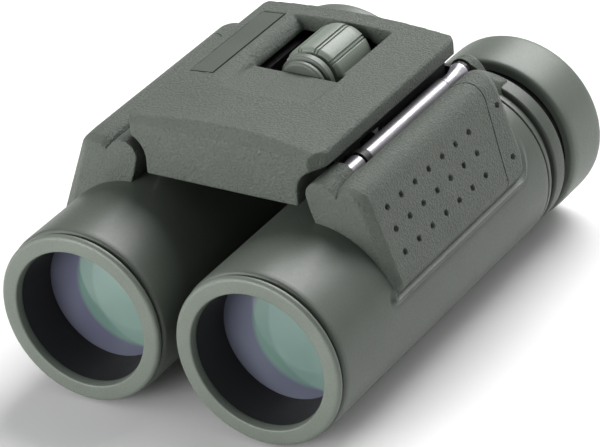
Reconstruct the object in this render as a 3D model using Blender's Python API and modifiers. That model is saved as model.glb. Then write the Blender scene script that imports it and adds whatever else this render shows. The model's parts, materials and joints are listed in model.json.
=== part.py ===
"""Compact folding binoculars: two roof-prism barrels hung on a bridge by two hinges.

Frame: +Z up, +Y from the objectives to the eyepieces, +X across. The origin is on the
ground, midway along the length, midway between the barrels. The left barrel, as the user
holds it, is the one at +X. Lengths below are millimetres; MM turns them into metres.
A station is a distance behind the front face. Places on a hinge section are given as
(out, up): outwards and upwards from the hinge line of that side.
"""

import math

import bmesh
import bpy
from mathutils import Matrix

MM = 0.001
GAP = 0.3

# Driving dimensions
LENGTH = 101.8
EYECUP_R = 17.6
TUBE_R = 17.3
TUBE_X = 18.77
HINGE_X = 20.9
HINGE_RISE = 22.61
TUBE_Z = EYECUP_R
HINGE_Z = TUBE_Z + HINGE_RISE
SEGMENTS = 36
INNER_SEGMENTS = 24
CUTTER_SEGMENTS = 76

# Barrel stations
RING_END = 1.1
ARMOUR_START = 1.9
ARMOUR_END = 79.4
BEAD_END = 80.8
COLLAR_START = 82.8
COLLAR_END = 86.6
EYECUP_START = 89.6

# Wing, the grained saddle that carries the knuckles
WING_FRONT = 21.8
WING_CHAMFER_END = 23.2
WING_ROUND_END = 25.8
WING_SPLIT = 66.3
WING_FADE_START = 66.5
WING_END = 85.6
PANEL_OFFSET = 1.5
PANEL_SLOPE = 19.4
PANEL_DISTANCE = 17.1
SHOULDER = (5.65, -1.1)
SHOULDER_R = 2.65
SHOULDER_OFFSET = 0.8
SPLIT_LEAN = 3.0 / 16.2
POCKET_R = 16.1
SADDLE_R = POCKET_R + GAP
RELIEF = 1.8
RELIEF_R = 17.9
POCKET_START = WING_FRONT + RELIEF - GAP
POCKET_LOW_ANGLE = 15.5
WING_LOW_ANGLE = 17.5
WING_INNER = -1.2
WING_FLANK = -1.75
COLLAR_R = 17.14
COLLAR_COVER_R = 17.8
KNUCKLE_R = 3.0
REAR_KNUCKLE_R = 2.45
KNUCKLE_END = 32.4
REAR_KNUCKLE_START = 75.4
REAR_KNUCKLE_END = 77.0

# Hinge hardware
PIN_R = 1.45
PIN_START = 24.5
PIN_END = 76.5
SLEEVE_BORE_R = 1.55
SLEEVE_R = 1.85
SLEEVE_START = 38.0
SLEEVE_END = 68.2
LUG_R = 2.15
FRONT_LUG = (35.85, 37.7)
REAR_LUG = (74.3, 75.1)
TRENCH_R = 2.45

# Focus finger and the slot it slides in, through the wing, the armour and the optical tube
SLOT = (49.0, 56.0)
FINGER = (50.0, 52.0)
FINGER_HALF = 1.0
SLOT_HALF = 1.5

# Bridge
DECK_HALF = 20.9
DECK_FRONT = 22.07
DECK_REAR = 74.0
DECK_RISE = 7.8
DECK_CROWN = 1.2
DECK_RIM_LOW = 4.6
BRIDGE_LOW = -3.0
BODY_HALF = 16.05
WAIST_R = 4.85
CAVITY_HALF = 14.6
CAVITY_TOP = 5.4
WINDOW_HALF = 9.7
WINDOW = (51.5, 69.4)
RAMP_START = 37.0
RAMP_FLOOR = 6.5
PLATE_X = (-18.6, -13.3)
PLATE = (42.6, 69.2)

# Focus wheel
WHEEL_RISE = 3.6
WHEEL_R = 6.3
WHEEL = (55.8, 69.0)
WHEEL_RIBS = 10
SHAFT_R = 1.2
CARRIAGE = (42.0, 45.8)


def clear_scene():
    for item in list(bpy.data.objects):
        bpy.data.objects.remove(item, do_unlink=True)


def new_collection(name):
    made = bpy.data.collections.new(name)
    bpy.context.scene.collection.children.link(made)
    return made


def make_material(name, colour, roughness, metallic=0.0, alpha=1.0):
    made = bpy.data.materials.new(name)
    made.use_nodes = True
    shader = made.node_tree.nodes["Principled BSDF"]
    shader.inputs["Base Color"].default_value = (*colour, 1.0)
    shader.inputs["Roughness"].default_value = roughness
    shader.inputs["Metallic"].default_value = metallic
    shader.inputs["Alpha"].default_value = alpha
    return made


def station(distance):
    """World Y, in millimetres, of a distance behind the front face."""
    return distance - LENGTH / 2


def hinge_point(out, up, side):
    """World (x, z) of a place given from the hinge line of one side."""
    return side * (HINGE_X + out), HINGE_Z + up


def add_object(name, mesh, collection, material=None):
    made = bpy.data.objects.new(name, mesh)
    collection.objects.link(made)
    if material:
        mesh.materials.append(material)
    return made


def finish_cutter(cutter):
    cutter.hide_render = True
    cutter.display_type = "WIRE"
    return cutter


def boolean(target, cutter, operation="DIFFERENCE"):
    step = target.modifiers.new(cutter.name, "BOOLEAN")
    step.operation = operation
    step.object = cutter
    return target


def smooth(made, angle=35.0):
    made.data.shade_smooth()
    made.data.set_sharp_from_angle(angle=math.radians(angle))
    return made


def arc(centre, radius, start, end, count):
    """Points on an arc, by angle in degrees, both ends included."""
    points = []
    for step in range(count + 1):
        turn = math.radians(start + (end - start) * step / count)
        points.append((centre[0] + radius * math.cos(turn), centre[1] + radius * math.sin(turn)))
    return points


def signed_area(points):
    following = points[1:] + points[:1]
    return sum(a[0] * b[1] - b[0] * a[1] for a, b in zip(points, following)) / 2


def turned(name, profile, centre, collection, material=None, segments=SEGMENTS):
    """A solid turned about an axis along Y through centre (x, z).

    The profile is a list of (radius, station). It is a closed ring unless both its ends
    lie on the axis.
    """
    on_axis = profile[0][0] == 0 and profile[-1][0] == 0
    if signed_area(profile) > 0:
        profile = profile[::-1]
    mesh = bpy.data.meshes.new(name)
    verts = [(radius * MM, 0, station(place) * MM) for radius, place in profile]
    count = len(verts)
    links = count - 1 if on_axis else count
    edges = [(index, (index + 1) % count) for index in range(links)]
    mesh.from_pydata(verts, edges, [])
    made = add_object(name, mesh, collection, material)
    made.location = (centre[0] * MM, 0, centre[1] * MM)
    made.rotation_euler = (-math.pi / 2, 0, 0)
    screw = made.modifiers.new("Turn", "SCREW")
    screw.angle = math.tau
    screw.steps = segments
    screw.render_steps = segments
    screw.use_merge_vertices = True
    screw.merge_threshold = 0.000001
    screw.use_smooth_shade = False
    return made


AXES = {
    "X": Matrix(((0, 0, 1, 0), (1, 0, 0, 0), (0, 1, 0, 0), (0, 0, 0, 1))),
    "Y": Matrix(((1, 0, 0, 0), (0, 0, -1, 0), (0, 1, 0, 0), (0, 0, 0, 1))),
    "Z": Matrix.Identity(4),
}


def extruded(name, outline, axis, low, high, collection, material=None):
    """A flat outline pushed along an axis, from low to high, all in millimetres.

    The outline is (y, z) along X, (x, z) along Y and (x, y) along Z.
    """
    curve = bpy.data.curves.new(name, "CURVE")
    curve.dimensions = "2D"
    curve.fill_mode = "BOTH"
    curve.extrude = (high - low) / 2 * MM
    spline = curve.splines.new("POLY")
    spline.points.add(len(outline) - 1)
    for point, place in zip(spline.points, outline):
        point.co = (place[0] * MM, place[1] * MM, 0, 1)
    spline.use_cyclic_u = True
    flat = bpy.data.objects.new(name + "_outline", curve)
    collection.objects.link(flat)
    centre = (high + low) / 2 * MM
    flat.matrix_world = AXES[axis] @ Matrix.Translation((0, 0, -centre if axis == "Y" else centre))
    bpy.context.view_layer.update()
    mesh = bpy.data.meshes.new_from_object(flat.evaluated_get(bpy.context.evaluated_depsgraph_get()))
    mesh.transform(flat.matrix_world)
    bpy.data.objects.remove(flat, do_unlink=True)
    weld(mesh)
    mesh.name = name
    return add_object(name, mesh, collection, material)


def weld(mesh):
    cage = bmesh.new()
    cage.from_mesh(mesh)
    bmesh.ops.remove_doubles(cage, verts=cage.verts, dist=0.000001)
    bmesh.ops.recalc_face_normals(cage, faces=cage.faces)
    cage.to_mesh(mesh)
    cage.free()


def block(name, x_range, y_range, z_range, collection, material=None):
    """A box between two world corners, given as ranges in millimetres."""
    cage = bmesh.new()
    bmesh.ops.create_cube(cage, size=1.0)
    spans = (sorted(x_range), sorted(y_range), sorted(z_range))
    for vert in cage.verts:
        for axis, (low, high) in enumerate(spans):
            vert.co[axis] = ((low + high) / 2 + vert.co[axis] * (high - low)) * MM
    mesh = bpy.data.meshes.new(name)
    cage.to_mesh(mesh)
    cage.free()
    return add_object(name, mesh, collection, material)


def rod(name, centre, radius, stations, collection, material=None, segments=16):
    """A plain round rod along Y."""
    front, rear = stations
    profile = [(0, rear), (radius, rear), (radius, front), (0, front)]
    return turned(name, profile, centre, collection, material, segments)


def ring(name, centre, outer, inner, stations, collection, material=None, segments=INNER_SEGMENTS):
    """A plain square-edged ring about an axis along Y."""
    front, rear = stations
    profile = [(outer, rear), (outer, front), (inner, front), (inner, rear)]
    return turned(name, profile, centre, collection, material, segments)


# ---------------------------------------------------------------- barrels

def tube_centre(side):
    return side * TUBE_X, TUBE_Z


def toward_hinge(side):
    """Unit (x, z) from the tube's axis to the hinge line of the same side."""
    out = HINGE_X - TUBE_X
    reach = math.hypot(out, HINGE_RISE)
    return side * out / reach, HINGE_RISE / reach


def wing_outline(growth, shoulder_growth, knuckle_r):
    """Section of the wing as (out, up) points; growth pushes the panel and the shoulder out."""
    slope = math.radians(PANEL_SLOPE)
    axis_out = TUBE_X - HINGE_X
    panel_distance = PANEL_DISTANCE + growth
    knuckle = arc((0, 0), knuckle_r, 188, 38, 8)
    shoulder_steps = 7
    start = math.radians(140 - 8 * shoulder_growth)
    round_over = []
    for step in range(shoulder_steps + 1):
        share = step / shoulder_steps
        turn = start + (slope - start) * share
        radius = SHOULDER_R + shoulder_growth + (growth - shoulder_growth) * share
        round_over.append((SHOULDER[0] + radius * math.cos(turn), SHOULDER[1] + radius * math.sin(turn)))
    tangent = (axis_out + panel_distance * math.cos(slope),
               -HINGE_RISE + panel_distance * math.sin(slope))
    low = math.radians(WING_LOW_ANGLE)
    roll = (tangent[0] - 0.25 + 0.1 * growth, tangent[1] + 0.45 * growth + 0.45)
    foot = (axis_out + TUBE_R * math.cos(low), -HINGE_RISE + TUBE_R * math.sin(low))
    heel = (axis_out + 15.0 * math.cos(low), -HINGE_RISE + 15.0 * math.sin(low))
    points = [(WING_INNER, -9.0), (WING_INNER, -7.1), (-2.55, -2.3)]
    points += knuckle
    points += [(3.6 - 0.55 * shoulder_growth, 0.5 + 0.55 * shoulder_growth)]
    points += round_over
    middle = [(round_over[-1][0] + (roll[0] - round_over[-1][0]) * share,
               round_over[-1][1] + (roll[1] - round_over[-1][1]) * share) for share in (0.33, 0.67)]
    return points + middle + [roll, foot, heel]


def fade_end(angle):
    """Station at which the wing has sunk to the barrel, by angle about the tube's axis."""
    return min(WING_END, 69.6 + 0.13 * (angle - 10) + 0.0026 * max(0, angle - 10) ** 2)


def landing_radius(angle):
    """Radius that the wing sinks to: flush with the armour below, over the collar above."""
    share = min(1, max(0, (angle - 50) / 12))
    return TUBE_R + (COLLAR_COVER_R - TUBE_R) * share


def faded(out, up, place, knuckle):
    """A section point sunk towards the barrel, smoothly, behind the grip panel."""
    across = out + HINGE_X - TUBE_X
    rise = up + HINGE_RISE
    reach = math.hypot(across, rise)
    angle = math.degrees(math.atan2(rise, across))
    landing = landing_radius(angle)
    if reach <= landing:
        return out, up
    start = REAR_KNUCKLE_END if knuckle else WING_FADE_START
    share = min(1, max(0, (place - start) / (fade_end(angle) - start)))
    ease = (1 - share) if knuckle else (1 - share) ** 1.5
    reach = landing + (reach - landing) * ease
    turn = math.radians(angle)
    return TUBE_X - HINGE_X + reach * math.cos(turn), reach * math.sin(turn) - HINGE_RISE


def wing_sections():
    """Outlines by station: a rounded front edge, a straight run, then the fade behind the panel."""
    made = [
        (WING_FRONT, wing_outline(0, 0, KNUCKLE_R)),
        (WING_CHAMFER_END, wing_outline(PANEL_OFFSET, SHOULDER_OFFSET, KNUCKLE_R)),
        (WING_ROUND_END, wing_outline(PANEL_OFFSET, PANEL_OFFSET, KNUCKLE_R)),
        (KNUCKLE_END + 2, wing_outline(PANEL_OFFSET, PANEL_OFFSET, KNUCKLE_R)),
    ]
    section = wing_outline(PANEL_OFFSET, PANEL_OFFSET, REAR_KNUCKLE_R)
    last_knuckle = 11
    steps = 16
    for step in range(steps + 1):
        place = WING_FADE_START + (WING_END - WING_FADE_START) * step / steps
        sunk = [faded(*point, place, index <= last_knuckle) for index, point in enumerate(section)]
        made.append((place, sunk))
    return made


def wing_body(side, collection):
    """Loft through the wing's sections."""
    cage = bmesh.new()
    loops = []
    for place, outline in wing_sections():
        loop = []
        for out, up in outline:
            x, z = hinge_point(out, up, side)
            loop.append(cage.verts.new((x * MM, station(place) * MM, z * MM)))
        loops.append(loop)
    for near, far in zip(loops, loops[1:]):
        count = len(near)
        for index in range(count):
            following = (index + 1) % count
            cage.faces.new((near[index], near[following], far[following], far[index]))
    cage.faces.new(loops[0])
    cage.faces.new(loops[-1])
    bmesh.ops.recalc_face_normals(cage, faces=cage.faces)
    mesh = bpy.data.meshes.new("wing")
    cage.to_mesh(mesh)
    cage.free()
    return add_object("wing", mesh, collection)


def side_profile(name, points, side, out_range, cutters):
    """A cutter whose outline is (station, up), pushed across from one out to another."""
    outline = [(station(place), HINGE_Z + up) for place, up in points]
    low, high = sorted(side * (HINGE_X + out) for out in out_range)
    return finish_cutter(extruded(name, outline, "X", low, high, cutters))


def wing_cutters(side, label, cutters):
    """Everything that is taken off the plain wing."""
    centre = tube_centre(side)
    made = []
    saddle = [(0, WING_END + 2), (SADDLE_R, WING_END + 2), (SADDLE_R, WING_FRONT - 2), (0, WING_FRONT - 2)]
    made.append(turned(label + "_saddle", saddle, centre, cutters, segments=CUTTER_SEGMENTS))
    rear_r = COLLAR_R + 0.22
    rear = [(0, WING_END + 3), (rear_r, WING_END + 3), (rear_r, BEAD_END - 1.8), (0, BEAD_END - 1.8)]
    made.append(turned(label + "_rear_saddle", rear, centre, cutters, segments=CUTTER_SEGMENTS))
    front = [(0, WING_FRONT + RELIEF), (RELIEF_R, WING_FRONT + RELIEF), (RELIEF_R, WING_FRONT - 1),
             (0, WING_FRONT - 1)]
    made.append(turned(label + "_relief", front, centre, cutters, segments=CUTTER_SEGMENTS))
    trench = [
        (-4.5, -TRENCH_R), (0, -TRENCH_R), (1.3, -2.1), (2.2, -1.1), (3.35, 0.9), (3.9, 3.6),
        (3.9, 5), (-4.5, 5),
    ]
    outline = [hinge_point(out, up, side) for out, up in trench]
    made.append(extruded(label + "_trench", outline, "Y", station(KNUCKLE_END),
                         station(REAR_KNUCKLE_START), cutters))
    hinge = hinge_point(0, 0, side)
    made.append(rod(label + "_pin_bore", hinge, PIN_R + GAP, (PIN_START - GAP, PIN_END + GAP), cutters))
    tail = [(69.0, -19.5), (70.9, -17.6), (72.2, -16.0), (73.6, -13.8), (74.8, -11.4), (76.9, -9.1),
            (79.6, -7.4), (82.5, -6.3), (90.0, -5.9), (90.0, -24.0), (69.0, -24.0)]
    made.append(side_profile(label + "_tail", tail, side, (-6, 20), cutters))
    made.append(focus_slot(label + "_wing_slot", side, 15.0, 24.0, cutters))
    return [finish_cutter(cutter) for cutter in made]


def focus_slot(name, side, near, far, cutters):
    """Slot for the focus finger, along the line from the tube's axis to the hinge."""
    return tilted_block(name, side, (-SLOT_HALF, SLOT_HALF), SLOT, (near, far), cutters)


def tilted_block(name, side, across, stations, reach, collection, material=None):
    """A box set on the line from the tube's axis to the hinge: across it, along Y, along it."""
    made = block(name, across, [station(place) for place in stations], reach, collection, material)
    x_dir, z_dir = toward_hinge(side)
    made.location = (side * TUBE_X * MM, 0, TUBE_Z * MM)
    made.rotation_euler = (0, math.atan2(x_dir, z_dir), 0)
    return made


def wing_split(label, side, front_part, cutters):
    """Half space on one side of the slanted joint between the two wing castings."""
    head, foot = 5, -22
    shift = 0 if front_part else GAP
    top = WING_SPLIT + SPLIT_LEAN * head + shift
    low = WING_SPLIT + SPLIT_LEAN * foot + shift
    beyond = LENGTH if front_part else 0
    outline = [(top, head), (low, foot), (beyond, foot), (beyond, head)]
    name = label + ("_cut_rear" if front_part else "_cut_front")
    return side_profile(name, outline, side, (-8, 24), cutters)


def make_wings(side, label, parts, cutters, material):
    shared = wing_cutters(side, label, cutters)
    made = []
    for name, front_part in ((label + "_wing_front", True), (label + "_wing_rear", False)):
        body = wing_body(side, parts)
        body.name = name
        body.data.name = name
        body.data.materials.append(material)
        for cutter in shared:
            boolean(body, cutter)
        boolean(body, wing_split(label, side, front_part, cutters))
        made.append(body)
    return made


def armour_pocket(side, label, cutters):
    """Ring sector that lets the wing into the armour."""
    centre = tube_centre(side)
    profile = [(22, BEAD_END + 3), (22, POCKET_START), (POCKET_R, POCKET_START), (POCKET_R, BEAD_END + 3)]
    pocket = turned(label + "_pocket", profile, centre, cutters, segments=CUTTER_SEGMENTS)
    low = math.radians(POCKET_LOW_ANGLE)
    reach = 40.0
    inner_edge = HINGE_X - TUBE_X + WING_FLANK - GAP
    wedge = [(0, 0), (reach * math.cos(low), reach * math.sin(low)), (reach, 60), (inner_edge, 60),
             (inner_edge, 0)]
    outline = [(side * (TUBE_X + out), TUBE_Z + up) for out, up in wedge]
    sector = extruded(label + "_sector", outline, "Y", station(0), station(LENGTH), cutters)
    boolean(pocket, finish_cutter(sector), "INTERSECT")
    tail = [(69.6, -20.0), (71.4, -17.9), (72.8, -16.1), (74.2, -13.9), (75.4, -11.6), (77.3, -9.4),
            (79.7, -7.75), (82.5, -6.65), (90.0, -6.25), (90.0, -26.0), (69.6, -26.0)]
    boolean(pocket, side_profile(label + "_pocket_tail", tail, side, (-6, 24), cutters))
    return finish_cutter(pocket)


def make_tube(side, label, parts, cutters, looks):
    """Armour, front ring, optical tube and the collar at the rear of one barrel."""
    centre = tube_centre(side)
    armour_profile = [
        (15.6, ARMOUR_START), (16.7, ARMOUR_START), (17.15, ARMOUR_START + 0.35),
        (TUBE_R, ARMOUR_START + 0.9), (TUBE_R, ARMOUR_END), (16.9, ARMOUR_END + 0.05),
        (16.9, ARMOUR_END + 0.35), (17.2, ARMOUR_END + 0.45), (17.2, BEAD_END - 0.15),
        (16.2, BEAD_END), (16.2, COLLAR_START - 0.4), (15.6, COLLAR_START - 0.4),
    ]
    armour = turned(label + "_armour", armour_profile, centre, parts, looks["armour"])
    boolean(armour, armour_pocket(side, label, cutters))
    boolean(armour, finish_cutter(focus_slot(label + "_armour_slot", side, 14.5, 18.5, cutters)))

    ring_profile = [
        (13.43, 0.35), (13.75, 0), (16.3, 0), (16.75, 0.2), (16.95, 0.6), (16.95, RING_END),
        (15.3, RING_END), (15.3, 6.0), (13.43, 6.0),
    ]
    front_ring = turned(label + "_front_ring", ring_profile, centre, parts, looks["ring"])

    tube = ring(label + "_optical_tube", centre, 15.25, 14.35, (6.3, 81.5), parts, looks["black_metal"],
                segments=32)
    boolean(tube, finish_cutter(focus_slot(label + "_tube_slot", side, 13.0, 16.0, cutters)))
    return [armour, front_ring, tube]


def make_objective(side, label, parts, cutters, looks):
    """Lens, its sliding cell, retaining ring and the finger that the focus sleeve drives."""
    centre = tube_centre(side)
    cell_profile = [
        (13.15, 6.7), (14.0, 6.7), (14.0, 16.0), (12.0, 16.0), (12.0, 12.2), (13.15, 12.2),
    ]
    cell = turned(label + "_objective_cell", cell_profile, centre, parts, looks["black_metal"], 32)
    lens_profile = [(0, 6.9), (6.5, 7.2), (10.2, 7.75), (12.85, 8.4), (12.85, 11.2), (0, 11.9)]
    lens = turned(label + "_objective_lens", lens_profile, centre, parts, looks["coated_glass"], 32)
    retainer = ring(label + "_objective_retainer", centre, 12.85, 12.45, (7.0, 7.9), parts,
                    looks["black_metal"], 32)
    across = (-FINGER_HALF, FINGER_HALF)
    link = tilted_block(label + "_focus_finger", side, across, FINGER, (11.6, 20.5), parts, looks["steel"])
    rail = tilted_block(label + "_finger_rail", side, across, (16.3, FINGER[1]), (11.6, 13.2), cutters)
    boolean(link, finish_cutter(rail), "UNION")
    return [cell, lens, retainer, link]


def make_prisms(side, label, parts, cutters, looks):
    """Schmidt-Pechan pair in its cage, behind the focus finger's travel."""
    x, z = tube_centre(side)
    cage = ring(label + "_prism_cage", (x, z), 14.05, 12.2, (58.0, 79.0), parts, looks["black_metal"], 32)
    half_width = 6.2
    front_faces = [(59.0, z - 8.0), (59.0, z + 8.0), (62.2, z + 8.0), (69.4, z + 0.8), (64.0, z - 8.0)]
    rear_faces = [(70.0, z + 1.2), (64.2, z + 7.0), (66.0, z + 8.0), (77.0, z + 8.0), (77.0, z - 5.8)]
    low, high = x - half_width, x + half_width
    outline = [(station(place), up) for place, up in front_faces]
    first = extruded(label + "_front_prism", outline, "X", low, high, parts, looks["glass"])
    outline = [(station(place), up) for place, up in rear_faces]
    second = extruded(label + "_roof_prism", outline, "X", low, high, parts, looks["glass"])
    return [cage, first, second]


def make_eyepiece(side, label, parts, looks):
    """Collar, eyepiece tube and lenses, and the twist-up eyecup with its guide sleeve."""
    centre = tube_centre(side)
    collar_name = label + ("_dioptre_ring" if side < 0 else "_rear_collar")
    collar_profile = [
        (14.35, COLLAR_START), (16.9, COLLAR_START), (COLLAR_R, COLLAR_START + 0.25),
        (COLLAR_R, COLLAR_END - 0.25), (16.9, COLLAR_END), (14.35, COLLAR_END),
    ]
    collar = turned(collar_name, collar_profile, centre, parts, looks["ring"])

    barrel_profile = [
        (11.2, 81.9), (14.0, 81.9), (14.0, 97.0), (12.0, 97.0), (11.2, 96.0),
    ]
    barrel = turned(label + "_eyepiece_tube", barrel_profile, centre, parts, looks["black_metal"], 32)
    field_profile = [(0, 83.0), (6.0, 83.4), (9.6, 84.6), (9.6, 86.4), (0, 86.4)]
    field_lens = turned(label + "_field_lens", field_profile, centre, parts, looks["glass"])
    field_lens.modifiers["Turn"].steps = INNER_SEGMENTS
    field_lens.modifiers["Turn"].render_steps = INNER_SEGMENTS
    field_cell = ring(label + "_field_lens_cell", centre, 10.9, 9.9, (82.6, 87.2), parts,
                      looks["black_metal"])
    eye_profile = [(0, 91.6), (9.0, 92.2), (10.7, 92.8), (10.7, 94.3), (7.0, 95.2), (0, 95.6)]
    eye_lens = turned(label + "_eye_lens", eye_profile, centre, parts, looks["coated_glass"],
                      INNER_SEGMENTS)
    sleeve = ring(label + "_eyecup_guide", centre, 15.2, 14.3, (87.0, 97.4), parts,
                  looks["black_plastic"], 32)
    cup_profile = [
        (15.5, EYECUP_START), (16.9, EYECUP_START), (17.4, EYECUP_START + 0.5),
        (EYECUP_R, EYECUP_START + 1.6), (EYECUP_R, LENGTH - 1.9), (EYECUP_R - 0.15, LENGTH - 1.1),
        (EYECUP_R - 0.6, LENGTH - 0.4), (16.2, LENGTH), (14.0, LENGTH), (13.2, LENGTH - 0.8),
        (12.6, 97.7), (15.5, 97.7),
    ]
    cup = turned(label + "_eyecup", cup_profile, centre, parts, looks["eyecup"])
    return {"collar": collar, "fixed": [barrel, eye_lens], "field": [field_lens, field_cell],
            "sleeve": sleeve, "cup": cup}


def make_hinge_pin(side, label, parts, looks):
    return rod(label + "_hinge_pin", hinge_point(0, 0, side), PIN_R, (PIN_START, PIN_END), parts,
               looks["chrome"])


# ---------------------------------------------------------------- bridge

def crown(x):
    """Height of the deck above the hinge line at a distance across."""
    return DECK_RISE + DECK_CROWN * (1 - (x / DECK_HALF) ** 2)


def bridge_section():
    """Half of the bridge's section as (x, up), from the underside to the middle of the deck."""
    waist = arc((HINGE_X, 0), WAIST_R, 186, 118, 6)
    points = [(BODY_HALF, BRIDGE_LOW)] + waist
    points += [(DECK_HALF, DECK_RIM_LOW), (DECK_HALF, crown(DECK_HALF) - 0.5)]
    deck_steps = 7
    for step in range(deck_steps):
        x = (DECK_HALF - 0.5) * (1 - step / deck_steps)
        points.append((x, crown(x)))
    return points


def make_top_cover(parts, cutters, looks):
    half = bridge_section()
    section = half + [(0, crown(0))] + [(-x, up) for x, up in reversed(half)]
    outline = [(x, HINGE_Z + up) for x, up in section]
    cover = extruded("top_cover", outline, "Y", station(DECK_FRONT), station(DECK_REAR), parts,
                     looks["grained"])

    front_corner = 18.7
    plan_half = [
        (front_corner, DECK_FRONT - 1), (front_corner, DECK_FRONT), (DECK_HALF - 0.2, 25.0),
        (DECK_HALF + 1, 27.0), (DECK_HALF + 1, 71.8), (DECK_HALF - 0.2, 73.0),
        (19.4, DECK_REAR + 0.2), (19.0, DECK_REAR + 1),
    ]
    plan = plan_half + [(-x, place) for x, place in reversed(plan_half)]
    outline = [(x, station(place)) for x, place in plan]
    boolean(cover, finish_cutter(extruded("deck_plan", outline, "Z", HINGE_Z - 6, HINGE_Z + 14, cutters)),
            "INTERSECT")

    brow = [(DECK_FRONT - 1, 7.1), (DECK_FRONT, 7.1), (25.1, 9.3), (25.1, 14), (DECK_FRONT - 1, 14)]
    outline = [(station(place), HINGE_Z + up) for place, up in brow]
    boolean(cover, finish_cutter(extruded("deck_brow", outline, "X", -30, 30, cutters)))

    cavity = block("bridge_cavity", (-CAVITY_HALF, CAVITY_HALF), (station(24.3), station(71.8)),
                   (HINGE_Z + BRIDGE_LOW - 1, HINGE_Z + CAVITY_TOP), cutters)
    boolean(cover, finish_cutter(cavity))
    for side in (1, -1):
        flank = block("bridge_flank", (side * 12.9, side * 17.6), (station(33.0), station(76.0)),
                      (HINGE_Z + BRIDGE_LOW - 1, HINGE_Z + DECK_RIM_LOW + 0.1), cutters)
        boolean(cover, finish_cutter(flank))
    for name, stations in (("front_bearing_room", (33.0, 49.9)), ("rear_bearing_room", (69.0, 71.9))):
        room = block(name, (-5, 5), [station(place) for place in stations],
                     (HINGE_Z, HINGE_Z + 6.1), cutters)
        boolean(cover, finish_cutter(room))

    window = block("wheel_window", (-WINDOW_HALF, WINDOW_HALF), [station(place) for place in WINDOW],
                   (HINGE_Z, HINGE_Z + 14), cutters)
    boolean(cover, finish_cutter(window))
    ramp = [(RAMP_START, 9.0), (WINDOW[0] + 0.1, RAMP_FLOOR), (WINDOW[0] + 0.1, 12.0), (RAMP_START, 12.0)]
    outline = [(station(place), HINGE_Z + up) for place, up in ramp]
    ramp_half = WINDOW_HALF - 0.3
    boolean(cover, finish_cutter(extruded("thumb_ramp", outline, "X", -ramp_half, ramp_half, cutters)))
    boolean(cover, finish_cutter(plate_block("plate_recess", 0, -0.8, 2.0, cutters)))
    return cover


def plate_block(name, inset, low, high, collection, material=None):
    """A thin box lying on the deck's slope at the nameplate."""
    middle = sum(PLATE_X) / 2
    half = (PLATE_X[1] - PLATE_X[0]) / 2 - inset
    lean = math.atan(2 * DECK_CROWN * middle / DECK_HALF ** 2)
    made = block(name, (-half, half), (station(PLATE[0] + inset), station(PLATE[1] - inset)), (low, high),
                 collection, material)
    made.location = (middle * MM, 0, (HINGE_Z + crown(middle)) * MM)
    made.rotation_euler = (0, lean, 0)
    return made


def make_bottom_cover(parts, cutters, looks):
    """Tray that closes the bridge from below, with a belly under the wheel."""
    low = HINGE_Z + BRIDGE_LOW
    tray = block("bottom_cover", (-CAVITY_HALF + GAP, CAVITY_HALF - GAP), (station(24.6), station(71.5)),
                 (low, low + 1.5), parts, looks["black_plastic"])
    belly = block("belly", (-8.4, 8.4), (station(50.4), station(71.4)), (low - 1.4, low + 0.5), cutters)
    boolean(tray, finish_cutter(belly), "UNION")
    inside = block("tray_inside", (-13.2, 13.2), (station(25.8), station(70.3)), (low + 1.0, low + 4),
                   cutters)
    boolean(tray, finish_cutter(inside))
    well = block("wheel_well", (-7.4, 7.4), (station(51.4), station(70.4)), (low - 0.6, low + 4), cutters)
    boolean(tray, finish_cutter(well))
    for spot in screw_spots():
        hole = rod("cover_screw_hole", spot, 1.05, (0, LENGTH), cutters, segments=12)
        stand_up(hole, spot)
        boolean(tray, finish_cutter(hole))
    return tray


def screw_spots():
    """World (x, station) of the cover screws."""
    return [(side * 11.0, place) for place in (36.0, 66.0) for side in (1, -1)]


def stand_up(made, spot):
    """Turn a rod that was made along Y so that it stands on the bridge's underside."""
    x, place = spot
    made.rotation_euler = (0, 0, 0)
    made.location = (x * MM, station(place) * MM, (HINGE_Z + BRIDGE_LOW) * MM)


def make_cover_screws(parts, looks):
    screws = []
    for index, spot in enumerate(screw_spots(), start=1):
        head_low, head_high, tip = 0.15, 0.9, 5.6
        offset = LENGTH / 2
        profile = [(0, tip + offset), (0.6, tip + offset), (0.6, head_high + offset),
                   (0.7, head_low + offset), (0, head_low + offset)]
        screw = turned(f"cover_screw_{index}", profile, (0, 0), parts, looks["steel"], 12)
        stand_up(screw, spot)
        screws.append(screw)
    return screws


def lug_outline():
    """Section of a lug as (out, up): a post, an arm and an eye round the hinge pin."""
    eye = arc((0, 0), LUG_R, 152, -152, 12)
    return [(-7.8, 4.1), (-5.4, 4.1), (-5.4, 1.01)] + eye + [(-7.8, -1.01)]


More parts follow.
